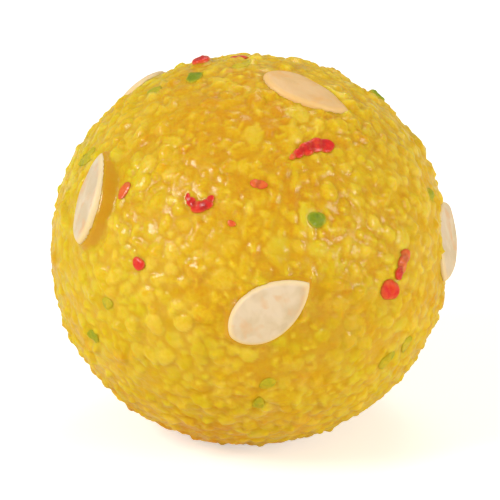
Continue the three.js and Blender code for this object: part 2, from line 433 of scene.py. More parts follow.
def soak(directions):
    """How much binding there is, from 0 to 1."""
    field = layered(directions * BALL_HALF, SOAK_WAVES, MIDDLE_SOAK)
    return np.clip(np.maximum(field, pool_share(directions)), 0, 1)


BINDING_DEEP = 0.24 * MM
BINDING_FULL = 0.12 * MM
POOL_DEPTH = 0.2 * MM
CLIMB_TO = 0.05 * MM
CLIMB_SLOPE = 1.1
CLIMB_REACH = 22
NO_RISE = -1.0


def binding_rise(directions):
    """How far the binding between the beads reaches over the ball's form. It is below 0."""
    deep = BINDING_DEEP + (BINDING_FULL - BINDING_DEEP) * soak(directions)
    return -deep - POOL_DEPTH * pool_share(directions)


def climb_rise(directions):
    """How far the syrup that climbs up the seeds reaches over the ball's form, near them."""
    rise = np.full(len(directions), NO_RISE)
    for seed in seed_places:
        near = np.flatnonzero(directions @ seed.out > math.cos(math.radians(CLIMB_REACH)))
        level = seed.middle @ seed.face + CLIMB_TO - CLIMB_SLOPE * seed.away(directions[near])
        reach = level / (directions[near] @ seed.face) - ball_radius(directions[near])
        rise[near] = np.maximum(rise[near], reach)
    return rise


print("binding under the bead tops, mm:", BINDING_FULL / MM, "to", BINDING_DEEP / MM)

# %% [markdown]
# A bead on the ball is a soft dome, flattened on top by a palm, with an outline that is never quite round.
# A physics simulation could press thousands of soft balls together, slowly. A formula for the height of the
# dome over any point does it at once: where two domes meet, the higher one shows, and that line is the
# crease between them.

# %% The dome of a bead
DOME_POWER = 2.3
DOME_HEIGHT = 0.42
RIM_SLOPE = 1.5
OUTLINE_WAVES = ((2, 0.1), (3, 0.06))
POOL_SINKS = 2.5


def outline_share(angle, phases):
    """How far a bead's outline reaches at this angle, as a share of its radius."""
    share = np.ones(angle.shape)
    for k, (count, depth) in enumerate(OUTLINE_WAVES):
        share = share + depth * np.cos(count * angle + phases[..., k])
    return share


def dome(share):
    """Height of a dome over its rim: 1 at its middle, 0 at its rim and less past it."""
    rise = np.clip(1 - share**DOME_POWER, 0, 1) ** (1 / DOME_POWER)
    return rise - RIM_SLOPE * np.maximum(share - 1, 0)


bead_lift = beads.lift[laid] - POOL_SINKS * POOL_DEPTH * pool_share(beads.direction[laid])


def outline_reach(layer, directions, near):
    """How far out in each near bead's outline a direction is: 0 at the middle, 1 at the rim."""
    stretch = layer.stretch[near]
    x = np.einsum("nc,nkc->nk", directions, layer.along[near]) * BALL_HALF / stretch
    y = np.einsum("nc,nkc->nk", directions, layer.across[near]) * BALL_HALF * np.sqrt(stretch)
    angle = np.arctan2(y, x)
    return np.hypot(x, y) / (layer.radius[near] * outline_share(angle, layer.phases[near]))


def bead_rise(directions, near):
    """How far beads reach over the ball's form. near holds a row of bead numbers for each direction."""
    share = outline_reach(beads, directions, near)
    return bead_lift[near] + DOME_HEIGHT * beads.radius[near] * (dome(share) - 1)


print("a bead 1.6 mm across stands", round(DOME_HEIGHT * 0.8, 2), "mm over its rim")

# %% [markdown]
# Pressing the ball also leaves small broken beads and grains on top of the others. They break up the outlines
# of large beads and catch most of the small glints, and their tone leans pale, a painted highlight for those
# glints. They are thrown on in the same way, as a layer of their own, and each swells the surface softly
# where it lands.

# %% Bits on top of the beads
BIT_SIZES = [(1.0, 1.4, 600), (0.7, 1.0, 2400)]
BIT_CROWDING = 1.0
BIT_BULGE = 0.3
BIT_STRETCH = 0.8
BIT_PALER_AS_PAINTED_GLINT = 0.7
BIT_POWER = 1.5
BIT_SEED = 1913

bits = Beads()
bit_draw = draws_from(BIT_SEED)
for smallest, largest, throws in BIT_SIZES:
    bits.throw(bit_draw, smallest, largest, throws, "bit", BIT_CROWDING)
laid_bits = slice(0, bits.count)
bits.turn = 180 * many(bit_draw, bits.count)
bits.stretch = 1 + BIT_STRETCH * many(bit_draw, bits.count)
# Bits lean pale: a painted highlight for the small glints that they catch.
bits.tone = many(bit_draw, bits.count) ** BIT_PALER_AS_PAINTED_GLINT
bits.phases = 2 * math.pi * many(bit_draw, 2 * bits.count).reshape(-1, 2)
bits.along = along_surface(bits.direction[laid_bits], bits.turn)
bits.across = np.cross(bits.direction[laid_bits], bits.along)
print("bits:", bits.count)

# %% [markdown]
# The skin over everything is a soft union of the nearest domes and the binding. Taking the highest of them
# would leave knife-sharp creases. The logarithm of the sum of their exponentials gives nearly the same
# height, but fills each crease with a small round fillet, as syrup does.
# The same weights blend the beads' tones, so the colour changes softly from bead to bead, and they tell where
# the creases are, where syrup lies bare and where a dyed bead shows. Slow waves make one side of the ball
# paler, and, as no batch is mixed quite evenly, one side greener. On top come the bits, and the finest
# relief, of crushed beads, which is a sum of short waves.

# %% The skin over beads and binding
FILLET = 0.08 * MM
NEAR_BEADS = 12
NEAR_BITS = 3
BINDING_TONE = 0.4
BINDING_LIME = 0.3
# Strength, length and start of the waves of three fields
CRUSHED_WAVES = [(0.7, 1.5 * MM, 21), (0.6, 0.8 * MM, 22)]
TONE_WAVES = [(0.32, 28 * MM, 13803)]
LIME_WAVES = [(0.55, 38 * MM, 11676)]
CRUSHED_RELIEF = 0.035 * MM
SMOOTHER_WHERE_BARE = 0.7


def tree_of(layer):
    tree = KDTree(layer.count)
    for i in range(layer.count):
        tree.insert(layer.direction[i], i)
    tree.balance()
    return tree


bead_tree = tree_of(beads)
bit_tree = tree_of(bits)


def nearest(tree, directions, count):
    return np.array([[found[1] for found in tree.find_n(one, count)] for one in directions])


def bit_swelling(directions):
    """How far bits swell out of the skin, how much they show, from 0 to 1, and their tone."""
    near = nearest(bit_tree, directions, NEAR_BITS)
    share = outline_reach(bits, directions, near)
    middle = np.clip(1 - share**2, 0, 1) ** BIT_POWER
    best = middle.argmax(axis=1)
    row = np.arange(len(directions))
    middle = middle[row, best]
    chosen = near[row, best]
    return BIT_BULGE * bits.radius[chosen] * middle, middle, bits.tone[chosen]


def blend(weights, values, of_binding):
    """A number of the near beads and the binding, blended by their weights."""
    of_beads = (weights[:, :NEAR_BEADS] * values).sum(axis=1)
    return of_beads + weights[:, NEAR_BEADS:].sum(axis=1) * of_binding


Skin = namedtuple("Skin", "height tone lime crease bare dyed")


def skin(directions):
    """Height of the skin over the ball's form, and how its finish varies, at each of these directions."""
    near = nearest(bead_tree, directions, NEAR_BEADS)
    of_beads = bead_rise(directions, near)
    levels = np.column_stack((of_beads, binding_rise(directions), climb_rise(directions)))
    highest = levels.max(axis=1)
    weights = np.exp((levels - highest[:, None]) / FILLET)
    total = weights.sum(axis=1)
    weights = weights / total[:, None]
    swelling, shown, bit_tone_with_painted_glint = bit_swelling(directions)
    points = directions * BALL_HALF
    tone = blend(weights, beads.tone[near], BINDING_TONE) + layered(points, TONE_WAVES)
    bare = np.maximum(weights[:, -1], pool_share(directions))
    shown = shown * (1 - bare)
    fine = CRUSHED_RELIEF * layered(points, CRUSHED_WAVES)
    return Skin(
        height=highest + FILLET * np.log(total) + (swelling + fine) * (1 - SMOOTHER_WHERE_BARE * bare),
        tone=tone + (bit_tone_with_painted_glint - tone) * shown,
        lime=blend(weights, beads.lime[near], BINDING_LIME) + layered(points, LIME_WAVES),
        # How deep a point lies in a crease. The finish colours it deeper there, partly as syrup and partly as
        # painted shade.
        crease=np.maximum(1 - (weights[:, :NEAR_BEADS] ** 2).sum(axis=1), 0) * (1 - shown),
        bare=bare,
        dyed=blend(weights, beads.dyed[near], 0.0),
    )


print("fillet in the creases, mm:", round(FILLET * math.log(2) / MM, 3))

# %% [markdown]
# The solid model's ladoo is hidden and replaced. Every new piece is a plain mesh, made from arrays of points,
# and each point carries a few numbers for its material: the tone and lime of its bead, how deep it lies in a
# crease and how much binding is round it.

# %% Helpers that make a piece
UNDER_SEED = 0.98
SKIN_CLEARANCE = 0.02 * MM
CAP_CLEARANCE = 0.01 * MM


def add_object(name, data):
    thing = bpy.data.objects.new(name, data)
    bpy.context.scene.collection.objects.link(thing)
    return thing


def new_piece(name, points, faces, numbers):
    mesh = bpy.data.meshes.new(name)
    mesh.from_pydata((points + CENTRE).tolist(), [], faces)
    mesh.validate()
    mesh.shade_smooth()
    for attribute, values in numbers.items():
        stored = mesh.attributes.new(attribute, "FLOAT", "POINT")
        stored.data.foreach_set("value", np.asarray(values, np.float32))
    piece = add_object(name, mesh)
    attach(piece, "root")
    mesh.calc_loop_triangles()
    print(name, "has", len(mesh.loop_triangles), "triangles")
    return piece


def keep_above_rest(points, clearance):
    """Presses points flat where the ball rests, this far above the surface that it rests on."""
    points[..., 2] = np.maximum(points[..., 2], clearance - CENTRE[2])
    return points


def press_under_seeds(points):
    """Points that would stand in a seed's way are pressed down to its middle."""
    for seed in seed_places:
        inside = seed.covers(points, UNDER_SEED) & ((points - seed.middle) @ seed.face > 0)
        depth = (seed.middle @ seed.face) / np.maximum(points @ seed.face, 1e-9)
        points = np.where(inside[..., None], points * depth[..., None], points)
    return points


# %% [markdown]
# The yellow beads and the binding are one mesh, because light wanders through the real mass from bead to
# bead, and would be lost at the walls between separate beads.
# A UV sphere crowds its faces at the poles, and an icosphere comes only in steps of four times more faces. A
# cube whose sides are cut into a grid and blown up to a ball can have any number. The tangent spreads the
# grid, so that its squares come out nearly alike on the ball.
# Where a dyed bead lies, the skin sinks a little, so that the bead's own piece shows whole.

# %% The skin as a mesh
GRID_CUTS = 127
DYED_SINK = 0.12 * MM
SINK_STEEPNESS = 1.5


def cube_sphere(cuts):
    """Directions and faces of a ball made from a cube with this many cuts along each edge."""
    made = bmesh.new()
    bmesh.ops.create_cube(made, size=2.0)
    bmesh.ops.subdivide_edges(made, edges=made.edges[:], cuts=cuts, use_grid_fill=True)
    corners = np.array([vertex.co for vertex in made.verts])
    made.verts.index_update()
    faces = [tuple(vertex.index for vertex in face.verts) for face in made.faces]
    made.free()
    spread = np.tan(corners * math.pi / 4)
    return spread / np.linalg.norm(spread, axis=1)[:, None], faces


skin_directions, skin_faces = cube_sphere(GRID_CUTS)
whole = skin(skin_directions)
skin_height = whole.height - DYED_SINK * np.clip(SINK_STEEPNESS * whole.dyed, 0, 1)
skin_points = skin_directions * (ball_radius(skin_directions) + skin_height)[:, None]
skin_points = keep_above_rest(press_under_seeds(skin_points), SKIN_CLEARANCE)
skin_numbers = {
    "tone": whole.tone,
    "lime": whole.lime,
    "crease": whole.crease,
    "soak": np.maximum(soak(skin_directions), whole.bare),
}
skin_piece = new_piece("boondi_mass", skin_points, skin_faces, skin_numbers)

# %% [markdown]
# A dyed bead is a cap of its own: a closed little body whose top follows the skin there, with its foot out
# of sight inside the ball. A plain dome would lie on the ball like a scale. Its dye is weaker along its
# edge, where syrup has washed it out.
# All caps share one template, and numpy bends it for all of them at once. Red ones are one joined mesh and
# green ones another, because instances would be lost when the model is exported.

# %% Dyed beads as caps
CAP_SIDES = 24
CAP_RINGS = 8
RING_POWER = 0.8
CAP_OVER = 0.03 * MM
EDGE_LOWER = 0.7
FOOT_REACH = 0.6
FOOT_DEPTH = 0.9
EDGE_TONE = 0.6
HIDDEN_BY_SEED = 0.8


def cap_template(sides, rings):
    """Reach and angle of the points of a cap: its top, its rings, then its foot ring and foot point."""
    ring_shares = (np.arange(1, rings + 1) / rings) ** RING_POWER
    shares = np.concatenate(([0.0], np.repeat(ring_shares, sides), [FOOT_REACH] * sides, [0.0]))
    turns = 2 * math.pi * np.arange(sides) / sides
    return shares, np.concatenate(([0.0], np.tile(turns, rings + 1), [0.0]))


def cap_faces(sides, rings):
    """Faces between the top point, the rings and the bottom point of one closed cap."""
    last = 1 + rings * sides
    faces = []
    for k in range(sides):
        after = (k + 1) % sides
        faces.append((0, 1 + k, 1 + after))
        for ring in range(rings - 1):
            low, high = 1 + ring * sides, 1 + (ring + 1) * sides
            faces.append((low + k, high + k, high + after, low + after))
        foot = 1 + (rings - 1) * sides
        faces.append((foot + k, last, foot + after))
    return faces


def cap_directions(members, shares, angles):
    """Directions of the points of caps, one row for each cap."""
    radius = beads.radius[members][:, None]
    stretch = beads.stretch[members][:, None]
    reach = radius * shares * outline_share(angles[None], beads.phases[members][:, None])
    x = reach * np.cos(angles) * stretch
    y = reach * np.sin(angles) / np.sqrt(stretch)
    spots = beads.direction[members][:, None] * BALL_HALF
    spots = spots + x[..., None] * beads.along[members][:, None]
    spots = spots + y[..., None] * beads.across[members][:, None]
    return spots / np.linalg.norm(spots, axis=-1, keepdims=True)


def lay_caps(name, members):
    """One joined mesh of the caps of these beads."""
    shares, angles = cap_template(CAP_SIDES, CAP_RINGS)
    directions = cap_directions(members, shares, angles)
    height = skin(directions.reshape(-1, 3)).height
    rise = height.reshape(directions.shape[:2]) + CAP_OVER * (1 - EDGE_LOWER * shares**4)
    is_foot = np.arange(len(shares)) > CAP_RINGS * CAP_SIDES
    rise = np.where(is_foot, -FOOT_DEPTH * beads.radius[members][:, None], rise)
    points = directions * (ball_radius(directions) + rise)[..., None]
    points = press_under_seeds(points.reshape(-1, 3))
    tone = beads.tone[members][:, None]
    tone = tone + (EDGE_TONE - tone) * shares**6
    step = len(shares)
    one_cap = cap_faces(CAP_SIDES, CAP_RINGS + 1)
    faces = [tuple(v + k * step for v in face) for k in range(len(members)) for face in one_cap]
    return new_piece(name, keep_above_rest(points, CAP_CLEARANCE), faces, {"tone": tone.ravel()})


def beads_of(kinds):
    """Numbers of the beads of these kinds that no seed covers."""
    spots = beads.direction[laid] * BALL_HALF
    covered = np.any([seed.covers(spots, HIDDEN_BY_SEED) for seed in seed_places], axis=0)
    return np.flatnonzero(np.isin(beads.kind, kinds) & ~covered)


red_piece = lay_caps("boondi_red", beads_of(["red", "rust"]))
green_piece = lay_caps("boondi_green", beads_of(["green", "olive"]))

# %% [markdown]
# A shelled melon seed is flat and smooth, with faces a little domed and a rounded rim. A subdivided box
# would lose its point. Here its outline is a drop curve, and a short profile, from the middle of the face
# over the rim to the middle of the underside, is swept round it as one closed skin.

# %% The melon seeds
SEED_SIDES = 64
# Reach from the middle as a share of the outline, and height as a share of half the thickness
SEED_PROFILE = [
    (0.0, 1.0),
    (0.25, 0.99),
    (0.45, 0.965),
    (0.6, 0.93),
    (0.7, 0.89),
    (0.78, 0.855),
    (0.84, 0.84),
    (0.89, 0.8),
    (0.93, 0.7),
    (0.965, 0.52),
    (0.99, 0.3),
    (1.0, 0.05),
    (0.985, -0.3),
    (0.9, -0.75),
    (0.6, -0.95),
    (0.0, -1.0),
]
# How far each seed is tinted towards the syrup's colour, from 0 to 1: partly syrup taken up, partly painted
# warm reflected light
SEED_SYRUP_TINT_AND_BOUNCE = [0.1, 1.0, 0.0, 0.1, 0.3, 0.1, 0.5, 0.0, 0.2, 0.7]
SEED_WARP = 0.07 * MM
WARP_WAVES = [(1, 7 * MM, 41), (0.4, 2.5 * MM, 42)]
POINT_THINNER = 0.3
CROWN_BACK = 0.08
SEEDS_APART = 31 * MM


def seed_points(seed, shift):
    """The points of one seed, from the ball's centre, ring by ring from the middle of its face."""
    angles = 2 * math.pi * np.arange(SEED_SIDES) / SEED_SIDES
    outline_x = np.cos(angles) * SEED_LENGTH / 2
    outline_y = np.sign(np.sin(angles)) * drop_width((1 - np.cos(angles)) / 2) * SEED_WIDTH / 2
    rings = []
    for reach, height in SEED_PROFILE:
        x = outline_x * reach - (1 - reach) * CROWN_BACK * SEED_LENGTH
        y = outline_y * reach
        z = height * SEED_THICKNESS / 2 * (1 - POINT_THINNER * np.clip(x / (SEED_LENGTH / 2), 0, 1) ** 2)
        rings.append(np.stack((x, y, z), axis=1)[: 1 if reach == 0 else SEED_SIDES])
    local = np.concatenate(rings) * seed.scale
    local[:, 2] += SEED_WARP * layered(local + shift, WARP_WAVES)
    return seed.middle + local @ np.stack((seed.along, seed.across, seed.face))


def seed_rims(count):
    """How near each point of a seed is to its rim, from 0 to 1, for this many seeds."""
    rim = np.concatenate([[reach] * (1 if reach == 0 else SEED_SIDES) for reach, _ in SEED_PROFILE])
    return np.tile(rim, count)


all_seed_points = [seed_points(seed, SEEDS_APART * k) for k, seed in enumerate(seed_places)]
one_seed = cap_faces(SEED_SIDES, len(SEED_PROFILE) - 2)
seed_step = len(all_seed_points[0])
seeds_piece = new_piece(
    "melon_seeds",
    np.concatenate(all_seed_points),
    [tuple(v + k * seed_step for v in face) for k in range(len(seed_places)) for face in one_seed],
    {"rim": seed_rims(len(seed_places)), "tint_and_bounce": np.repeat(SEED_SYRUP_TINT_AND_BOUNCE, seed_step)},
)

# %% [markdown]
# The finishes share two effects, and each is a node group that is built once.
# The first is the syrup film: wet in some places and dull in others, with fine pits and grains. It gives a
# roughness, a mask for the clear coat and a height for a Bump node. Its grains are the domes of a Voronoi
# pattern, finer than the mesh can carry, and they break the shine into small glints. Bare syrup is smoother
# and wetter.
# The second is the colour of a soaked crumb: each bead has its own tone, it turns deeper and more orange
# where there is much binding and in the gaps, where the deeper colour is partly syrup and partly painted
# shade, and a fine mottling runs over it.

# %% Helpers for node trees
def new_group(name, inputs, outputs, output_type="NodeSocketFloat"):
    """A node group, its inputs and its outputs. inputs has a first value for each name."""
    group = bpy.data.node_groups.new(name, "ShaderNodeTree")
    for socket_name, value in inputs.items():
        socket_type = "NodeSocketColor" if isinstance(value, tuple) else "NodeSocketFloat"
        socket = group.interface.new_socket(socket_name, in_out="INPUT", socket_type=socket_type)
        socket.default_value = value
    for socket_name in outputs:
        group.interface.new_socket(socket_name, in_out="OUTPUT", socket_type=output_type)
    given = group.nodes.new("NodeGroupInput")
    result = group.nodes.new("NodeGroupOutput")
    return group, given.outputs, result.inputs


def set_inputs(node, values):
    """Sets sockets of a node. values has them by name."""
    for socket_name, value in values.items():
        node.inputs[socket_name].default_value = value


def add_node(tree, kind, **settings):
    node = tree.nodes.new(kind)
    for name, value in settings.items():
        setattr(node, name, value)
    return node


def math_node(tree, operation, first, second):
    """A math node of two values, each a number or an output."""
    node = add_node(tree, "ShaderNodeMath", operation=operation)
    for socket, value in zip(node.inputs, (first, second)):
        if isinstance(value, (int, float)):
            socket.default_value = value
        else:
            tree.links.new(value, socket)
    return node.outputs[0]


def summed(tree, *terms):
    """The sum of outputs, each with a weight."""
    total = 0.0
    for value, weight in terms:
        total = math_node(tree, "ADD", math_node(tree, "MULTIPLY", value, weight), total)
    return total


def ranged(tree, value, low, high, to_low=0.0, to_high=1.0):
    """value taken from one range to another, and kept inside it."""
    node = add_node(tree, "ShaderNodeMapRange")
    tree.links.new(value, node.inputs["Value"])
    set_inputs(node, {"From Min": low, "From Max": high, "To Min": to_low, "To Max": to_high})
    return node.outputs["Result"]


def mixed(tree, share, first, second):
    """Two colours mixed by a share, each a colour or an output."""
    node = add_node(tree, "ShaderNodeMix", data_type="RGBA")
    tree.links.new(share, node.inputs["Factor"])
    for socket, value in zip([s for s in node.inputs if s.type == "RGBA"], (first, second)):
        if isinstance(value, bpy.types.NodeSocket):
            tree.links.new(value, socket)
        else:
            socket.default_value = value
    return next(s for s in node.outputs if s.type == "RGBA")


def noise(tree, vector, size, detail=2.0, distortion=0.0):
    """Noise whose lumps are about size metres across."""
    node = add_node(tree, "ShaderNodeTexNoise")
    tree.links.new(vector, node.inputs["Vector"])
    set_inputs(node, {"Scale": 1 / size, "Detail": detail, "Distortion": distortion})
    return node.outputs["Fac"]


# %% The syrup film as a node group
PATCH_SIZE = 2.4 * MM
PIT_SIZE = 0.25 * MM
RIPPLE_SIZE = 0.7 * MM
GRAIN_SIZE = 0.85 * MM
GRAIN_SOFTNESS = 0.35
BARE_RANGE = (0.7, 1.0)
WET_RANGE = (0.9, 1.1)
WETTER_WHERE_BARE = 0.2
PITS_COUNT = 0.3
RIPPLES_COUNT = 0.55
RELIEF_WHERE_BARE = 0.4


def make_syrup_film():
    values = {
        "Wetness": 0.5,
        "Dull roughness": 0.55,
        "Wet roughness": 0.25,
        "Coat in wet places": 0.5,
        "Grains": 0.0,
        "Soak": 0.0,
    }
    group, given, result = new_group("Syrup film", values, ["Roughness", "Coat", "Height"])
    place = add_node(group, "ShaderNodeTexCoord").outputs["Object"]
    patches = noise(group, place, PATCH_SIZE, 3.0)
    bare = ranged(group, given["Soak"], *BARE_RANGE)
    wet = summed(group, (patches, 1.0), (given["Wetness"], 1.0), (bare, WETTER_WHERE_BARE))
    wet = ranged(group, wet, *WET_RANGE)
    drop = math_node(group, "SUBTRACT", given["Wet roughness"], given["Dull roughness"])
    rough = math_node(group, "ADD", math_node(group, "MULTIPLY", drop, wet), given["Dull roughness"])
    group.links.new(rough, result["Roughness"])
    group.links.new(math_node(group, "MULTIPLY", wet, given["Coat in wet places"]), result["Coat"])
    pits = noise(group, place, PIT_SIZE)
    ripples = noise(group, place, RIPPLE_SIZE)
    cells = add_node(group, "ShaderNodeTexVoronoi", feature="SMOOTH_F1")
    group.links.new(place, cells.inputs["Vector"])
    set_inputs(cells, {"Scale": 1 / GRAIN_SIZE, "Smoothness": GRAIN_SOFTNESS})
    grains = math_node(group, "MULTIPLY", cells.outputs["Distance"], given["Grains"])
    height = summed(group, (pits, PITS_COUNT), (ripples, RIPPLES_COUNT), (grains, -1.0))
    relief = ranged(group, bare, 0.0, 1.0, 1.0, RELIEF_WHERE_BARE)
    height = math_node(group, "MULTIPLY", height, relief)
    group.links.new(height, result["Height"])
    return group


syrup_film = make_syrup_film()
print("node group:", syrup_film.name)

# %% The colour of a soaked crumb as a node group
MOTTLE_SIZE = 1.3 * MM
SPECK_SIZE = 0.4 * MM
BATCH_SIZE = 7 * MM
LIME_PATCH_SIZE = 4.5 * MM
MOTTLES_COUNT = 0.6
SPECKS_COUNT = 0.4
BATCHES_COUNT = 0.55
DEEP_TO_MIDDLE = (0.68, 1.0)
MIDDLE_TO_PALE = (1.0, 1.45)
BEAD_LIME_COUNTS = 0.35
LIME_RANGE = (0.56, 0.92)
MOST_LIME = 0.65
SOAK_RANGE = (0.4, 1.0)
DEEPEST_SOAK = 0.85
GAP_SYRUP_AND_SHADE_RANGE = (0.1, 1.0)
DEEPEST_GAP_SYRUP_AND_SHADE = 0.5


def make_crumb_colour():
    values = {
        "Tone": 0.5,
        "Tone counts": 0.45,
        "Lime": 0.0,
        "Lime counts": 0.0,
        "Crease": 0.0,
        "Soak": 0.5,
        "Pale": (1.0, 1.0, 1.0, 1.0),
        "Middle": (0.5, 0.5, 0.5, 1.0),
        "Deep": (0.1, 0.1, 0.1, 1.0),
        "Lime colour": (0.5, 0.5, 0.1, 1.0),
    }
    group, given, result = new_group("Soaked crumb colour", values, ["Color"], "NodeSocketColor")
    place = add_node(group, "ShaderNodeTexCoord").outputs["Object"]
    toned = math_node(group, "MULTIPLY", given["Tone"], given["Tone counts"])
    mottles = noise(group, place, MOTTLE_SIZE, distortion=0.4)
    specks = noise(group, place, SPECK_SIZE)
    batches = noise(group, place, BATCH_SIZE)
    counted = ((toned, 1.0), (mottles, MOTTLES_COUNT), (specks, SPECKS_COUNT), (batches, BATCHES_COUNT))
    paleness = summed(group, *counted)
    middle = mixed(group, ranged(group, paleness, *DEEP_TO_MIDDLE), given["Deep"], given["Middle"])
    colour = mixed(group, ranged(group, paleness, *MIDDLE_TO_PALE), middle, given["Pale"])
    lime_patches = noise(group, place, LIME_PATCH_SIZE, distortion=0.3)
    limed = summed(group, (given["Lime"], BEAD_LIME_COUNTS), (lime_patches, 1.0))
    limed = ranged(group, limed, *LIME_RANGE, 0.0, MOST_LIME)
    limed = math_node(group, "MULTIPLY", limed, given["Lime counts"])
    colour = mixed(group, limed, colour, given["Lime colour"])
    soaked = ranged(group, given["Soak"], *SOAK_RANGE, 0.0, DEEPEST_SOAK)
    # Creases turn deeper orange: partly the syrup in them, partly painted shade.
    gap_syrup_and_shade = ranged(group, given["Crease"], *GAP_SYRUP_AND_SHADE_RANGE, 0.0, DEEPEST_GAP_SYRUP_AND_SHADE)
    colour = mixed(group, math_node(group, "MAXIMUM", soaked, gap_syrup_and_shade), colour, given["Deep"])
    group.links.new(colour, result["Color"])
    return group


crumb_colour = make_crumb_colour()
print("node group:", crumb_colour.name)

# %% [markdown]
# Soaked boondi lets light into itself: the edges of a bead glow, and its shadows are soft and warm. A plain
# diffuse finish would look like painted clay. The Principled shader's subsurface gives that glow, with red
# light reaching furthest, and a thin clear coat in the wet places gives the glints of the syrup.
# The yellow, red and green beads are one recipe with colours of their own.

# %% Finishes of the beads
LIME = (215, 199, 28)
BEAD_FILM = {"Dull roughness": 0.5, "Wet roughness": 0.32, "Coat in wet places": 0.55}
BEAD_RELIEF = 0.12 * MM
BEAD_SHINE = {
    "Coat Roughness": 0.16,
    "Specular IOR Level": 0.2,
    "Subsurface Radius": (1.0, 0.6, 0.15),
    "Subsurface Scale": 1.0 * MM,
}


def read_number(tree, attribute):
    return add_node(tree, "ShaderNodeAttribute", attribute_name=attribute).outputs["Fac"]


def linear(value):
    share = value / 255
    return share / 12.92 if share <= 0.04045 else ((share + 0.055) / 1.055) ** 2.4


def shader_colour(seen):
    """A colour as it is seen on a screen, from 0 to 255, as the linear values that a shader needs."""
    return (*map(linear, seen), 1.0)


def new_material(name):
    """A material, its node tree and its Principled shader."""
    material = bpy.data.materials.new(name)
    material.use_nodes = True
    tree = material.node_tree
    return material, tree, next(node for node in tree.nodes if node.type == "BSDF_PRINCIPLED")


def add_film(tree, shader, relief, values):
    """Puts the syrup film on a shader, with the height of its relief and values for its sockets."""
    film = add_node(tree, "ShaderNodeGroup", node_tree=syrup_film)
    set_inputs(film, values)
    bump = add_node(tree, "ShaderNodeBump")
    set_inputs(bump, {"Strength": 1.0, "Distance": relief})
    tree.links.new(film.outputs["Height"], bump.inputs["Height"])
    tree.links.new(bump.outputs["Normal"], shader.inputs["Normal"])
    tree.links.new(film.outputs["Roughness"], shader.inputs["Roughness"])
    return film


def crumb_material(name, colours, wetness, glow, grains, counts=(1.0, 0.0)):
    """A finish from a pale, a middle and a deep colour. counts says how much tone and lime count."""
    material, tree, shader = new_material(name)
    colour = add_node(tree, "ShaderNodeGroup", node_tree=crumb_colour)
    for socket in ("Tone", "Lime", "Crease", "Soak"):
        tree.links.new(read_number(tree, socket.lower()), colour.inputs[socket])
    set_inputs(colour, dict(zip(("Tone counts", "Lime counts"), counts)))
    colours = map(shader_colour, (*colours, LIME))
    set_inputs(colour, dict(zip(("Pale", "Middle", "Deep", "Lime colour"), colours)))
    tree.links.new(colour.outputs["Color"], shader.inputs["Base Color"])
    film = add_film(tree, shader, BEAD_RELIEF, {**BEAD_FILM, "Wetness": wetness, "Grains": grains})
    tree.links.new(read_number(tree, "soak"), film.inputs["Soak"])
    tree.links.new(film.outputs["Coat"], shader.inputs["Coat Weight"])
    set_inputs(shader, {**BEAD_SHINE, "Subsurface Weight": glow})
    return material


YELLOWS = [(240, 212, 78), (225, 190, 26), (213, 154, 13)]
REDS = [(236, 118, 54), (226, 42, 38), (188, 22, 26)]
GREENS = [(214, 190, 40), (146, 160, 30), (104, 136, 24)]
boondi_finish = crumb_material("boondi", YELLOWS, wetness=0.5, glow=0.8, grains=1.0, counts=(0.5, 1.0))
red_finish = crumb_material("red_boondi", REDS, wetness=0.6, glow=0.3, grains=0.8)
green_finish = crumb_material("green_boondi", GREENS, wetness=0.4, glow=0.3, grains=0.8)
print("finishes:", boondi_finish.name, red_finish.name, green_finish.name)

# %% [markdown]
# The seeds are cream and waxy, with a painted highlight along the rim. Faint grey and rosy clouds lie over
# the face, and some seeds are tinted towards the syrup's colour, partly syrup taken up and partly painted
# warm reflected light. They use the syrup film too.

# %% The finish of the melon seeds
SEED_GREY = (215, 198, 174)
SEED_CREAM = (229, 214, 196)
SEED_ROSE = (226, 188, 150)
SEED_RIM_HIGHLIGHT = (244, 223, 182)
SYRUP_TINT_AND_BOUNCE = (242, 186, 90)
CLOUD_SIZE = 2.6 * MM
CLOUD_RANGE = (0.4, 0.62)
ROSE_SIZE = 1.9 * MM
ROSE_RANGE = (0.52, 0.7)
RIM_HIGHLIGHT_RANGE = (0.86, 0.97)
MOST_SYRUP_TINT_AND_BOUNCE = 0.6
SEED_FILM = {"Wetness": 0.4, "Dull roughness": 0.5, "Wet roughness": 0.36}
SEED_RELIEF = 0.03 * MM
SEED_SHINE = {
    "Specular IOR Level": 0.4,
    "Subsurface Weight": 0.3,
    "Subsurface Radius": (1.0, 0.7, 0.4),
    "Subsurface Scale": 0.7 * MM,
}


def seed_material():
    material, tree, shader = new_material("melon_seed")
    place = add_node(tree, "ShaderNodeTexCoord").outputs["Object"]
    clouds = ranged(tree, noise(tree, place, CLOUD_SIZE, 3.0, 0.6), *CLOUD_RANGE)
    colour = mixed(tree, clouds, shader_colour(SEED_GREY), shader_colour(SEED_CREAM))
    rosy = ranged(tree, noise(tree, place, ROSE_SIZE, 2.0, 0.3), *ROSE_RANGE)
    colour = mixed(tree, rosy, colour, shader_colour(SEED_ROSE))
    # A paler rim: a painted highlight along the seed's edge.
    rim = ranged(tree, read_number(tree, "rim"), *RIM_HIGHLIGHT_RANGE)
    colour = mixed(tree, rim, colour, shader_colour(SEED_RIM_HIGHLIGHT))
    # Tint towards the syrup's colour: partly syrup taken up, partly painted warm reflected light.
    tint_and_bounce = ranged(tree, read_number(tree, "tint_and_bounce"), 0.0, 1.0, 0.0, MOST_SYRUP_TINT_AND_BOUNCE)
    colour = mixed(tree, tint_and_bounce, colour, shader_colour(SYRUP_TINT_AND_BOUNCE))
    tree.links.new(colour, shader.inputs["Base Color"])
    add_film(tree, shader, SEED_RELIEF, SEED_FILM)
    set_inputs(shader, SEED_SHINE)
    return material


seed_finish = seed_material()
print("finish:", seed_finish.name)

# %% [markdown]
# Every piece gets its finish. The solid ladoo is hidden, as the skin has the ball's form and the others sit
# on it.

# %% Finishes on pieces
def finish_piece(piece, material):
    piece.data.materials.append(material)


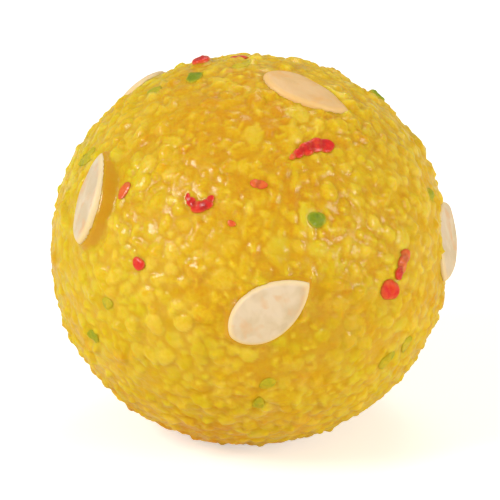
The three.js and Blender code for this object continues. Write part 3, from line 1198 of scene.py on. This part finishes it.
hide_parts("ladoo")
finish_piece(skin_piece, boondi_finish)
finish_piece(red_piece, red_finish)
finish_piece(green_piece, green_finish)
finish_piece(seeds_piece, seed_finish)

# %% [markdown]
# The stage is a white floor that glows a little, like the lit table of a product photograph, under soft
# light: a key from the upper left, a fill from the right, a weak light from behind, and a surround that
# lights the shadows. A bright white surround could do it all, but its reflection would lie over the wet beads
# like a veil and grey their yellow. So only the camera sees the floor and the surround white. To the ball
# both are darker and warmer.

# %% Floor, world and lights
FLOOR_HALF = 1.5
AIM = np.array((0.0, 0.0, BALL_HEIGHT / 2))
SURROUND = 0.43
WHITE = (1.0, 1.0, 1.0, 1.0)
WARM = (1.0, 0.9, 0.68, 1.0)
WARM_FLOOR = (0.86, 0.77, 0.52, 1.0)
WHITE_FLOOR = (0.87, 0.88, 0.89, 1.0)
FLOOR_ROUGHNESS = 0.9
FLOOR_GLOW = 0.12
FLOOR_SEEN_GLOW = 0.5
# Name, longitude and latitude, distance and size in metres, and watts
SOFTBOXES = [
    ("key", -60, 36, 0.7, 0.26, 2.75),
    ("fill", 60, 20, 0.9, 0.4, 3.2),
    ("back", 165, 55, 0.8, 0.4, 1.2),
]


def make_floor():
    mesh = bpy.data.meshes.new("floor")
    signs = ((-1, -1), (1, -1), (1, 1), (-1, 1))
    mesh.from_pydata([(x * FLOOR_HALF, y * FLOOR_HALF, 0.0) for x, y in signs], [], [(0, 1, 2, 3)])
    floor = add_object("floor", mesh)
    material, tree, shader = new_material("floor")
    shader.inputs["Roughness"].default_value = FLOOR_ROUGHNESS
    seen = add_node(tree, "ShaderNodeLightPath").outputs["Is Camera Ray"]
    tree.links.new(mixed(tree, seen, WARM_FLOOR, WHITE_FLOOR), shader.inputs["Base Color"])
    tree.links.new(mixed(tree, seen, WARM, WHITE), shader.inputs["Emission Color"])
    glow = ranged(tree, seen, 0.0, 1.0, FLOOR_GLOW, FLOOR_SEEN_GLOW)
    tree.links.new(glow, shader.inputs["Emission Strength"])
    mesh.materials.append(material)


def aim_at(thing, target):
    """Turns a light or camera so that it looks at the target."""
    heading = Vector(target) - thing.location
    thing.rotation_euler = heading.to_track_quat("-Z", "Y").to_euler()


def make_softbox(name, longitude, latitude, distance, size, watts):
    data = bpy.data.lights.new(name, "AREA")
    data.shape = "SQUARE"
    data.size = size
    data.energy = watts
    light = add_object(name, data)
    light.location = AIM + direction_at(longitude, latitude) * distance
    aim_at(light, AIM)


def make_world():
    world = bpy.data.worlds.new("studio")
    world.use_nodes = True
    tree = world.node_tree
    lit = next(node for node in tree.nodes if node.type == "BACKGROUND")
    lit.inputs["Color"].default_value = WARM
    lit.inputs["Strength"].default_value = SURROUND
    seen = add_node(tree, "ShaderNodeBackground")
    seen.inputs["Color"].default_value = WHITE
    chosen = add_node(tree, "ShaderNodeMixShader")
    tree.links.new(add_node(tree, "ShaderNodeLightPath").outputs["Is Camera Ray"], chosen.inputs["Fac"])
    tree.links.new(lit.outputs["Background"], chosen.inputs[1])
    tree.links.new(seen.outputs["Background"], chosen.inputs[2])
    output = next(node for node in tree.nodes if node.type == "OUTPUT_WORLD")
    tree.links.new(chosen.outputs["Shader"], output.inputs["Surface"])
    bpy.context.scene.world = world


make_floor()
make_world()
for softbox in SOFTBOXES:
    make_softbox(*softbox)
bpy.context.scene.view_settings.view_transform = "Standard"

# %% [markdown]
# The camera looks down at 22 degrees, as in the photograph, through a long lens, so that the ball keeps its
# round outline. The ball alone is framed, so the camera is closer.

# %% Camera
CAMERA_ELEVATION = 22
CAMERA_DISTANCE = 0.92
BALL_IN_PICTURE = 0.8
SENSOR = 36.0

camera_data = bpy.data.cameras.new("camera")
camera_data.sensor_width = SENSOR
camera_data.lens = SENSOR * CAMERA_DISTANCE * BALL_IN_PICTURE / BALL_WIDTH
camera = add_object("camera", camera_data)
camera.location = CENTRE + direction_at(0, CAMERA_ELEVATION) * CAMERA_DISTANCE
aim_at(camera, CENTRE)
bpy.context.scene.camera = camera
print("lens, mm:", round(camera_data.lens))
